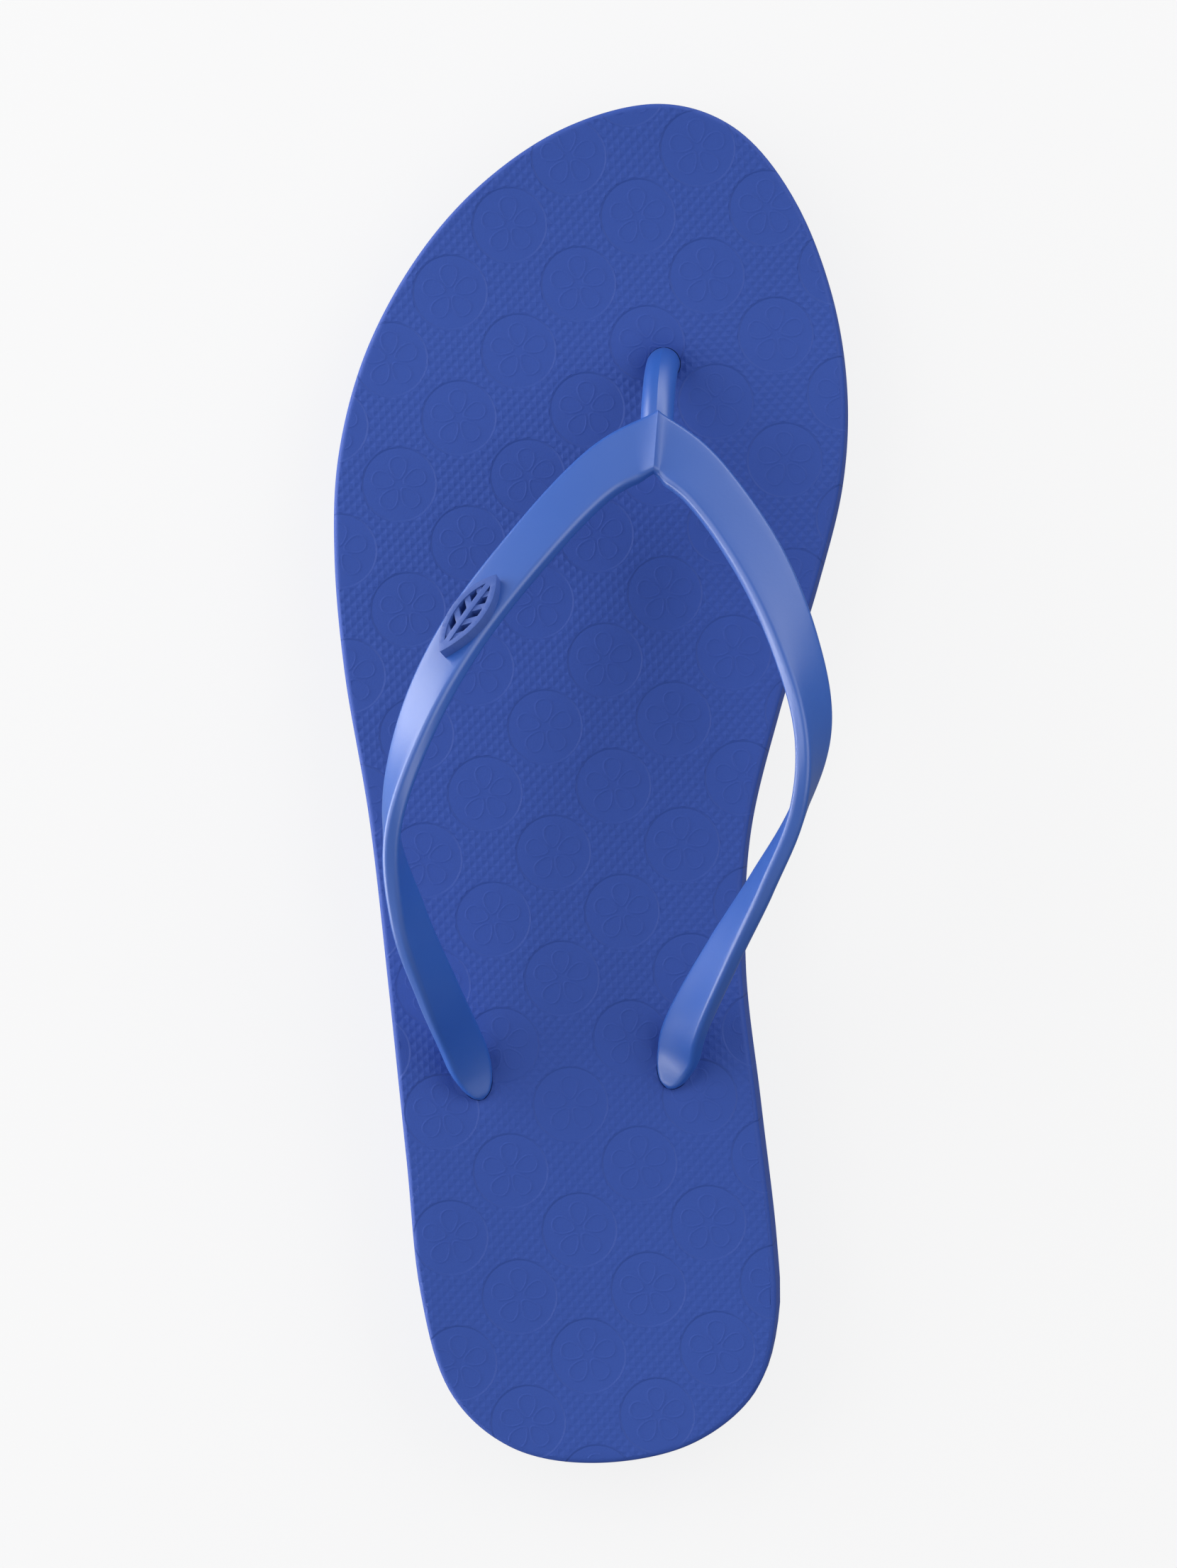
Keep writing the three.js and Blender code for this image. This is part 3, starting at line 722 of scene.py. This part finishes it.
# Cut into slices a millimetre long, it bends smoothly with the arm.
for slice_end in range(-8, 9):
    bmesh.ops.bisect_plane(
        bm, geom=bm.verts[:] + bm.edges[:] + bm.faces[:],
        plane_co=(slice_end * MM, 0, 0), plane_no=(1, 0, 0), dist=0.001 * MM,
    )
for vert in bm.verts:
    centre, _, across, out, _ = outer_arm.frame(BADGE_MIDDLE + vert.co.x)
    vert.co = (
        centre
        + across * (vert.co.y + BADGE_SHIFT)
        + out * (STRAP_THICKNESS / 2 + vert.co.z)
    )
bmesh.ops.recalc_face_normals(bm, faces=bm.faces[:])
bm.to_mesh(badge.data)
bm.free()
badge.data.shade_smooth()
badge.data.set_sharp_from_angle(angle=radians(50))

# Matt vinyl in the footbed's blue, with a fine sandblasted skin.
BADGE_BLUE = (0.040, 0.092, 0.345)
BADGE_PALE = (0.052, 0.112, 0.390)

cast, shade = new_material("matt_vinyl")
spot = shade.node("TexCoord", None, None, 3)
cloud = shade.node("TexNoise", None, {"Vector": spot, "Scale": 400.0, "Detail": 3.0})
blast = shade.node("TexNoise", None, {"Vector": spot, "Scale": 5000.0, "Detail": 2.0})
colour = shade.node("Mix", {"data_type": "RGBA"}, {
    0: cloud, 6: (*BADGE_BLUE, 1), 7: (*BADGE_PALE, 1),
}, 2)
relief = shade.node("Bump", None, {"Height": blast, "Strength": 0.3, "Distance": 0.00008})
end_material(shade, shade.node("BsdfPrincipled", None, {
    "Base Color": colour,
    "Roughness": 0.42 + 0.12 * cloud,
    "Normal": relief,
    "Specular IOR Level": 0.5,
}))
badge.data.materials.append(cast)
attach(badge, "root")
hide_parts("badge")

# ---------------------------------------------------------------- sole
# One thick piece of closed-cell foam, moulded whole. Its footbed has shallow round pans, which are
# a relief in its material, its underside has cross grooves, and three holes grip the strap.

# The foot of the side wall, anticlockwise from the back of the heel, in millimetres.
LAST_OUTLINE = [
    (1, -125), (18.4, -121.8), (30.7, -112.4), (34.9, -99), (34.5, -84), (31.6, -59),
    (28.8, -34), (29.6, -10), (35, 13), (42.3, 37), (46.9, 56), (47.6, 74), (44.5, 92),
    (37.5, 109), (27, 120.8), (13, 125), (-4, 120.9), (-19.5, 111), (-32, 97.3), (-41.5, 80),
    (-46.6, 61), (-47.4, 42), (-45.4, 20), (-40.7, -7), (-37, -38), (-33.7, -69),
    (-31.2, -93), (-25.8, -111.5), (-14.5, -122),
]
WALL_DRAFT = 0.4 * MM
RIM_RADIUS = 1.1 * MM
FOOT_BEVEL = 0.9 * MM
FIT_GAP = 0.12 * MM
OUTLINE_STEPS = 1500
SHEET_CELLS = (84, 220)


class Outline:
    """The sole's outline, found by the turn about its middle, a circle's angle when drawn out."""

    def __init__(self):
        points = [Vector((x, y, 0)) for x, y in LAST_OUTLINE]
        count = len(points)
        run = [through(points, count * k / OUTLINE_STEPS, True) for k in range(OUTLINE_STEPS)]
        west, east = min(p.x for p in run), max(p.x for p in run)
        south, north = min(p.y for p in run), max(p.y for p in run)
        for p in run:
            p.x = sole_low.x + (p.x - west) / (east - west) * BALL_WIDTH
            p.y = sole_low.y + (p.y - south) / (north - south) * SOLE_LENGTH
        table = []
        for k, p in enumerate(run):
            step = run[(k + 1) % OUTLINE_STEPS] - run[k - 1]
            table.append((self.turn(p.x, p.y), p, Vector((step.y, -step.x, 0)).normalized()))
        table.sort(key=lambda row: row[0])
        first, last = table[0], table[-1]
        table.insert(0, (last[0] - 2 * pi, last[1], last[2]))
        table.append((first[0] + 2 * pi, first[1], first[2]))
        self.turns = [row[0] for row in table]
        self.table = table

    @staticmethod
    def turn(x, y):
        return atan2(y / SOLE_LENGTH, x / BALL_WIDTH)

    def edge(self, turn, inset=0):
        """The point of the outline at a turn, drawn in square to the outline by an inset."""
        k = bisect.bisect_right(self.turns, turn)
        (t0, p0, n0), (t1, p1, n1) = self.table[k - 1], self.table[k]
        share = (turn - t0) / (t1 - t0)
        return p0.lerp(p1, share) - n0.lerp(n1, share).normalized() * inset


outline = Outline()

# Where the strap presses the footbed down around its holes: plan places of a hollow's two ends,
# radius, depth and how far the hollow spreads.
toe_hole = plugs()[0]
HOLLOWS = [(Vector(toe_hole[:2]), Vector(toe_hole[:2]), 3.3 * MM, 0.55 * MM, 4.5 * MM)]
HOLLOW_ENDS = (9 * MM, 4.4 * MM)  # before each tongue's tip
HOLLOW_REACH = 25 * MM  # a hollow is nowhere wider than this
for arm in (outer_arm, inner_arm):
    ends = [arm.frame(arm.length - back)[0].to_2d() for back in HOLLOW_ENDS]
    HOLLOWS.append((*ends, 4.2 * MM, 0.45 * MM, 4 * MM))


def pressed_footbed(x, y):
    """Height of the footbed with the hollows around the strap's holes."""
    sunk = 0
    for start, end, radius, depth, spread in HOLLOWS:
        if abs(x - end.x) > HOLLOW_REACH or abs(y - end.y) > HOLLOW_REACH:
            continue
        spot, run = Vector((x, y)), end - start
        share = 0
        if run.length > 0:
            share = min(1, max(0, (spot - start).dot(run) / run.length_squared))
        away = max(0, (spot - start - run * share).length - radius)
        sunk = max(sunk, depth * max(0, 1 - away / spread) ** 2)
    return footbed(x, y) - sunk


def outline_sheet(bm, inset):
    """A level square grid drawn out to the outline. Returns its points and its edge's turns."""
    cells_x, cells_y = SHEET_CELLS
    made = bmesh.ops.create_grid(bm, x_segments=cells_x, y_segments=cells_y, size=1)["verts"]
    turns = []
    for vert in made:
        u, v, _ = vert.co
        x, y = u * sqrt(1 - v * v / 2), v * sqrt(1 - u * u / 2)
        turn = atan2(y, x)
        if vert.is_boundary:
            turns.append(turn)
        vert.co = outline.edge(turn, inset) * min(1, hypot(x, y))
    return made, sorted(turns)


def lay_on(verts, height):
    """Lifts level points by a height that depends on their place."""
    for vert in verts:
        vert.co.z += height(vert.co.x, vert.co.y)


bm = bmesh.new()
_, turns = outline_sheet(bm, WALL_DRAFT + RIM_RADIUS)
NEAR_HOLLOW = 0.8  # the mesh is finer within this share of a hollow's spread
for _ in range(2):
    near = [
        edge for edge in bm.edges
        if any(((edge.verts[0].co + edge.verts[1].co).to_2d() / 2 - end).length
               < radius + NEAR_HOLLOW * spread for _, end, radius, _, spread in HOLLOWS)
    ]
    bmesh.ops.subdivide_edges(bm, edges=near, cuts=1, use_grid_fill=True)
lay_on(bm.verts, pressed_footbed)

# The wall from the footbed down to the foot: how far in, and the height at a place.
wall = []
for turned in range(90, -1, -10):
    inset = WALL_DRAFT + RIM_RADIUS * (1 - cos(radians(turned)))
    down = RIM_RADIUS * (1 - sin(radians(turned)))
    wall.append((inset, lambda p, down=down: pressed_footbed(p.x, p.y) - down))
for share in (0.25, 0.5, 0.75):
    wall.append((WALL_DRAFT * (1 - share), lambda p, share=share: (
        (footbed(p.x, p.y) - RIM_RADIUS) * (1 - share) + (underside(p.y) + FOOT_BEVEL) * share
    )))
for turned in (0, 12, 25, 38, 52, 65, 78, 90):
    inset = FOOT_BEVEL * (1 - cos(radians(turned)))
    up = FOOT_BEVEL * (1 - sin(radians(turned)))
    wall.append((inset, lambda p, up=up: underside(p.y) + up))
loops = []
for inset, level in wall:
    ring = [outline.edge(turn, inset) for turn in turns]
    for p in ring:
        p.z = level(p)
    loops.append(add_ring(bm, ring))
for near, far in zip(loops, loops[1:]):
    bmesh.ops.bridge_loops(bm, edges=near + far)
bottom_verts, _ = outline_sheet(bm, FOOT_BEVEL)
lay_on(bottom_verts, lambda x, y: underside(y))
SEAM_WITHIN = 0.003 * MM
bmesh.ops.remove_doubles(bm, verts=bm.verts[:], dist=SEAM_WITHIN)
bmesh.ops.recalc_face_normals(bm, faces=bm.faces[:])
sole = add_piece("foam_sole", bm)


PRISM_STEPS = 420


def outline_prism(inset, floor, top):
    """An upright body inside the outline, which trims what is laid on the sole."""
    bm = bmesh.new()
    around = [-pi + 2 * pi * k / PRISM_STEPS for k in range(PRISM_STEPS)]
    ring = [outline.edge(turn, inset) for turn in around]
    skin(bm, [[(p.x, p.y, z) for p in ring] for z in (floor, top)])
    return bm


# The round pans stand in slanting rows, each with a sloping wall. Their places are counted from
# one pan, and the studs and blossoms keep to them.
PAN_RADIUS = 7.0 * MM
PAN_DEPTH = 0.14 * MM
PAN_SLOPE = 0.4 * MM  # the wall leans out this far
FIRST_PAN = Vector((-1.9, 92.0)) * MM
ROW = Vector((12.65, -10.82)) * MM
COLUMN = Vector((-11.02, -12.26)) * MM
PAN_TURN = radians(3.5)
PAN_COUNTS = range(-14, 22)  # more rows and columns than reach the outline

pans = []
for i in PAN_COUNTS:
    for j in PAN_COUNTS:
        pan = FIRST_PAN + ROW * i + COLUMN * j
        edge = outline.edge(Outline.turn(pan.x, pan.y))
        if pan.length < edge.length + PAN_RADIUS:
            pans.append(pan)


def repeated(one, places):
    """One body copied to many level places, turned with the pattern."""
    template = bpy.data.meshes.new("template")
    one.to_mesh(template)
    one.free()
    bm = bmesh.new()
    for place in places:
        start = len(bm.verts)
        bm.from_mesh(template)
        bm.verts.ensure_lookup_table()
        made = bm.verts[start:]
        bmesh.ops.rotate(bm, verts=made, matrix=Matrix.Rotation(PAN_TURN, 3, "Z"))
        bmesh.ops.translate(bm, verts=made, vec=(*place, 0))
    bpy.data.meshes.remove(template)
    return bm


# Cross grooves under heel and ball, kept off the side wall and the plugs.
TREAD_DEPTH = 1.2 * MM
TREAD_GROOVE = 1.8 * MM
TREAD_PITCH = 9 * MM
TREAD_BORDER = 7 * MM
HEEL_GROOVES, BALL_GROOVES = 9, 6
TALL = 0.01  # a trimming body reaches this far above and below the ground
KEEP_OFF_SIDES = 56

bm = bmesh.new()
heel_grooves = [-SOLE_LENGTH / 2 + (k + 2) * TREAD_PITCH for k in range(HEEL_GROOVES)]
ball_grooves = [ARCH_TO + k * TREAD_PITCH for k in range(BALL_GROOVES)]
for y in heel_grooves + ball_grooves:
    made = bmesh.ops.create_cube(bm, size=1)["verts"]
    bmesh.ops.scale(bm, verts=made, vec=(BALL_WIDTH, TREAD_GROOVE, 2 * TREAD_DEPTH))
    bmesh.ops.translate(bm, verts=made, vec=(0, y, 0))
grooves = add_piece("grooves", bm)
combine(grooves, "INTERSECT", outline_prism(TREAD_BORDER, -TALL, TALL))
around = [2 * pi * k / KEEP_OFF_SIDES for k in range(KEEP_OFF_SIDES)]
keep_off = PLUG_DISC_RADIUS + TREAD_GROOVE
for x, y, _, _ in plugs():
    bm = bmesh.new()
    skin(bm, [[(x + keep_off * cos(a), y + keep_off * sin(a), z) for a in around]
              for z in (-WELL_BELOW, TALL / 2)])
    combine(grooves, "DIFFERENCE", bm)
bm = bmesh.new()
bm.from_mesh(grooves.data)
bpy.data.objects.remove(grooves)
combine(sole, "DIFFERENCE", bm, "EXACT")

TONGUE_CUTTER = 26 * MM
SOLE_SHARP = 15  # degrees


def tongue_body(arm, grow):
    """The last part of an arm alone."""
    lengths = [length for length in ring_lengths(arm) if length > arm.length - TONGUE_CUTTER]
    bm = bmesh.new()
    skin(bm, [band_ring(arm, length, grow) for length in lengths])
    return bm


hole_cutters = [lambda: post_body(FIT_GAP)]
hole_cutters += [lambda arm=arm: tongue_body(arm, FIT_GAP) for arm in (outer_arm, inner_arm)]
hole_cutters += [lambda plug=plug: plug_body(plug, FIT_GAP) for plug in plugs()]
for cutter in hole_cutters:
    combine(sole, "DIFFERENCE", cutter(), "EXACT")
sole.data.shade_smooth()
sole.data.set_sharp_from_angle(angle=radians(SOLE_SHARP))

# Matt closed-cell foam: one blue all through, cloudy by a shade, with a fine cellular skin.
FOAM_BLUE = (0.022, 0.067, 0.335)
FOAM_PALE = (0.027, 0.079, 0.380)


def pan_height(shade, spot):
    """0 on a pan's floor and 1 on the ground between pans, with a soft wall."""
    area = ROW.x * COLUMN.y - ROW.y * COLUMN.x
    x = shade.node("SeparateXYZ", None, {0: spot}, 0) - FIRST_PAN.x
    y = shade.node("SeparateXYZ", None, {0: spot}, 1) - FIRST_PAN.y
    i = (x * COLUMN.y - y * COLUMN.x) / area
    j = (y * ROW.x - x * ROW.y) / area
    i = i - shade.math("ROUND", i)
    j = j - shade.math("ROUND", j)
    dx = i * ROW.x + j * COLUMN.x
    dy = i * ROW.y + j * COLUMN.y
    away = shade.math("SQRT", dx * dx + dy * dy)
    return shade.node("MapRange", {"interpolation_type": "SMOOTHSTEP"}, {
        "Value": away, "From Min": PAN_RADIUS - PAN_SLOPE, "From Max": PAN_RADIUS,
    })


def foam_material(name, dark, pale, pans=True):
    """The sole's foam, also used by what is moulded on it."""
    material, shade = new_material(name)
    spot = shade.node("TexCoord", None, None, 3)
    cloud = shade.node("TexNoise", None, {"Vector": spot, "Scale": 28.0, "Detail": 4.0})
    speckle = shade.node("TexNoise", None, {"Vector": spot, "Scale": 1100.0, "Detail": 2.0})
    cells = shade.node("TexVoronoi", None, {"Vector": spot, "Scale": 2600.0})
    grain = shade.node("TexNoise", None, {"Vector": spot, "Scale": 3800.0, "Detail": 3.0})
    blend = 0.6 * cloud + 0.4 * speckle
    colour = shade.node("Mix", {"data_type": "RGBA"}, {0: blend, 6: (*dark, 1), 7: (*pale, 1)}, 2)
    skin_relief = shade.node("Bump", None, {
        "Height": 0.6 * cells + grain, "Strength": 0.35, "Distance": 0.00008,
    })
    relief = skin_relief if not pans else shade.node("Bump", None, {
        "Height": pan_height(shade, spot), "Strength": 1.0, "Distance": PAN_DEPTH,
        "Normal": skin_relief,
    })
    end_material(shade, shade.node("BsdfPrincipled", None, {
        "Base Color": colour,
        "Roughness": 0.56 + 0.16 * speckle,
        "Normal": relief,
        "Specular IOR Level": 0.4,
    }))
    return material


foam = foam_material("foam", FOAM_BLUE, FOAM_PALE)
sole.data.materials.append(foam)
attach(sole, "root")
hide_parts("sole")

# ---------------------------------------------------------------- footbed grip
# Low pointed studs of the same foam, moulded with it between the pans in slanting rows, so that a
# wet foot doesn't slip. They are a little lower towards the heel.

STUD_PITCH = 1.52 * MM
STUD_GAP = 0.34 * MM
STUD_HEIGHT = 0.15 * MM
STUD_SUNK = 0.12 * MM  # a stud's root lies this far inside the foam
STUD_ROWS = 172
STUD_BORDER = 1 * MM  # whole studs are laid out to this far past the outline
PAN_MIDDLE = 5.8 * MM  # and none is laid nearer a pan's middle; the rest is trimmed
PAN_CLEARANCE = 0.1 * MM
HEEL_WEAR = 0.35  # share of a stud's height lost at the heel
WORN_FROM, WORN_TO = -0.35 * SOLE_LENGTH, 0.05 * SOLE_LENGTH

bm = bmesh.new()
half_field = STUD_ROWS * STUD_PITCH / 2
bmesh.ops.create_grid(bm, x_segments=STUD_ROWS, y_segments=STUD_ROWS, size=half_field)
bmesh.ops.rotate(bm, verts=bm.verts[:], matrix=Matrix.Rotation(PAN_TURN + radians(45), 3, "Z"))
bmesh.ops.translate(bm, verts=bm.verts[:], vec=(0, 0, -STUD_SUNK))
off = []
for face in bm.faces:
    spot = face.calc_center_median().to_2d()
    outside = spot.length > outline.edge(Outline.turn(spot.x, spot.y)).length + STUD_BORDER
    if outside or min((spot - pan).length for pan in pans) < PAN_MIDDLE:
        off.append(face)
bmesh.ops.delete(bm, geom=off, context="FACES")
studs = bm.faces[:]
rims = bmesh.ops.inset_individual(bm, faces=studs, thickness=STUD_GAP / 2)["faces"]
bmesh.ops.delete(bm, geom=rims, context="FACES")
raised = bmesh.ops.extrude_face_region(bm, geom=bm.faces[:], use_keep_orig=True)["geom"]
tops = [item for item in raised if isinstance(item, bmesh.types.BMFace)]
verts = [item for item in raised if isinstance(item, bmesh.types.BMVert)]
bmesh.ops.translate(bm, verts=verts, vec=(0, 0, STUD_SUNK))
bmesh.ops.poke(bm, faces=tops, offset=STUD_HEIGHT)
bmesh.ops.recalc_face_normals(bm, faces=bm.faces[:])
grip = add_piece("footbed_grip", bm)
combine(grip, "INTERSECT", outline_prism(WALL_DRAFT + 0.7 * RIM_RADIUS, -TALL, TALL))
pan_cutter = bmesh.new()
clear = PAN_RADIUS + PAN_CLEARANCE
skin(pan_cutter, [[(clear * cos(a), clear * sin(a), z) for a in around] for z in (-MM, MM)])
combine(grip, "DIFFERENCE", repeated(pan_cutter, pans))
bm = bmesh.new()
bm.from_mesh(grip.data)
for vert in bm.verts:
    worn = 1 - HEEL_WEAR * (1 - smooth_step(vert.co.y, WORN_FROM, WORN_TO))
    if vert.co.z > 0:
        vert.co.z *= worn
lay_on(bm.verts, pressed_footbed)
bm.to_mesh(grip.data)
bm.free()
for cutter in hole_cutters:
    combine(grip, "DIFFERENCE", cutter())
grip.data.shade_flat()
plain_foam = foam_material("foam_relief", FOAM_BLUE, FOAM_PALE, pans=False)
grip.data.materials.append(plain_foam)
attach(grip, "root")

# ---------------------------------------------------------------- footbed blossoms
# A five-petalled blossom in thin raised lines on the floor of each pan. It is foam like the
# footbed, moulded in one with it.

PETALS = 5
LINE_WIDTH = 0.42 * MM
LINE_HEIGHT = 0.09 * MM
PETAL_MIDDLE = 3.05 * MM
PETAL_REACH = 2.1 * MM
PETAL_HALF_WIDTH = 1.5 * MM
PETAL_SLIMMING = 0.35  # a petal is narrower towards the blossom's middle
PETAL_STEPS = 18
RIDGE = ((-0.5, 0), (0, 1), (0.5, 0), (0, -0.6))  # shares of the line's width and height


def raised_line(bm, points):
    """A closed ridge along a level loop: outer foot, crest, inner foot, and under again."""
    count = len(points)
    rings = []
    for across, z in RIDGE:
        ring = []
        for k, p in enumerate(points):
            run = (points[(k + 1) % count] - points[k - 1]).normalized()
            side = Vector((run.y, -run.x)) * LINE_WIDTH * across
            ring.append((p.x + side.x, p.y + side.y, LINE_HEIGHT * z))
        rings.append(add_ring(bm, ring))
    for near, far in zip(rings, rings[1:] + rings[:1]):
        bmesh.ops.bridge_loops(bm, edges=near + far)


bm = bmesh.new()
for petal in range(PETALS):
    turn = Matrix.Rotation(radians(90) + 2 * pi * petal / PETALS, 2)
    points = []
    for k in range(PETAL_STEPS):
        t = 2 * pi * k / PETAL_STEPS
        out = PETAL_MIDDLE - PETAL_REACH * cos(t)
        side = PETAL_HALF_WIDTH * sin(t) * (1 - PETAL_SLIMMING * cos(t))
        points.append(turn @ Vector((out, side)))
    raised_line(bm, points)
bmesh.ops.recalc_face_normals(bm, faces=bm.faces[:])
blossoms = add_piece("footbed_blossoms", repeated(bm, pans))
combine(blossoms, "INTERSECT", outline_prism(WALL_DRAFT + 0.9 * RIM_RADIUS, -TALL, TALL))
bm = bmesh.new()
bm.from_mesh(blossoms.data)
lay_on(bm.verts, pressed_footbed)
bm.to_mesh(blossoms.data)
bm.free()
for cutter in hole_cutters:
    combine(blossoms, "DIFFERENCE", cutter())
blossoms.data.shade_smooth()
blossoms.data.set_sharp_from_angle(angle=radians(70))
blossoms.data.materials.append(plain_foam)
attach(blossoms, "root")
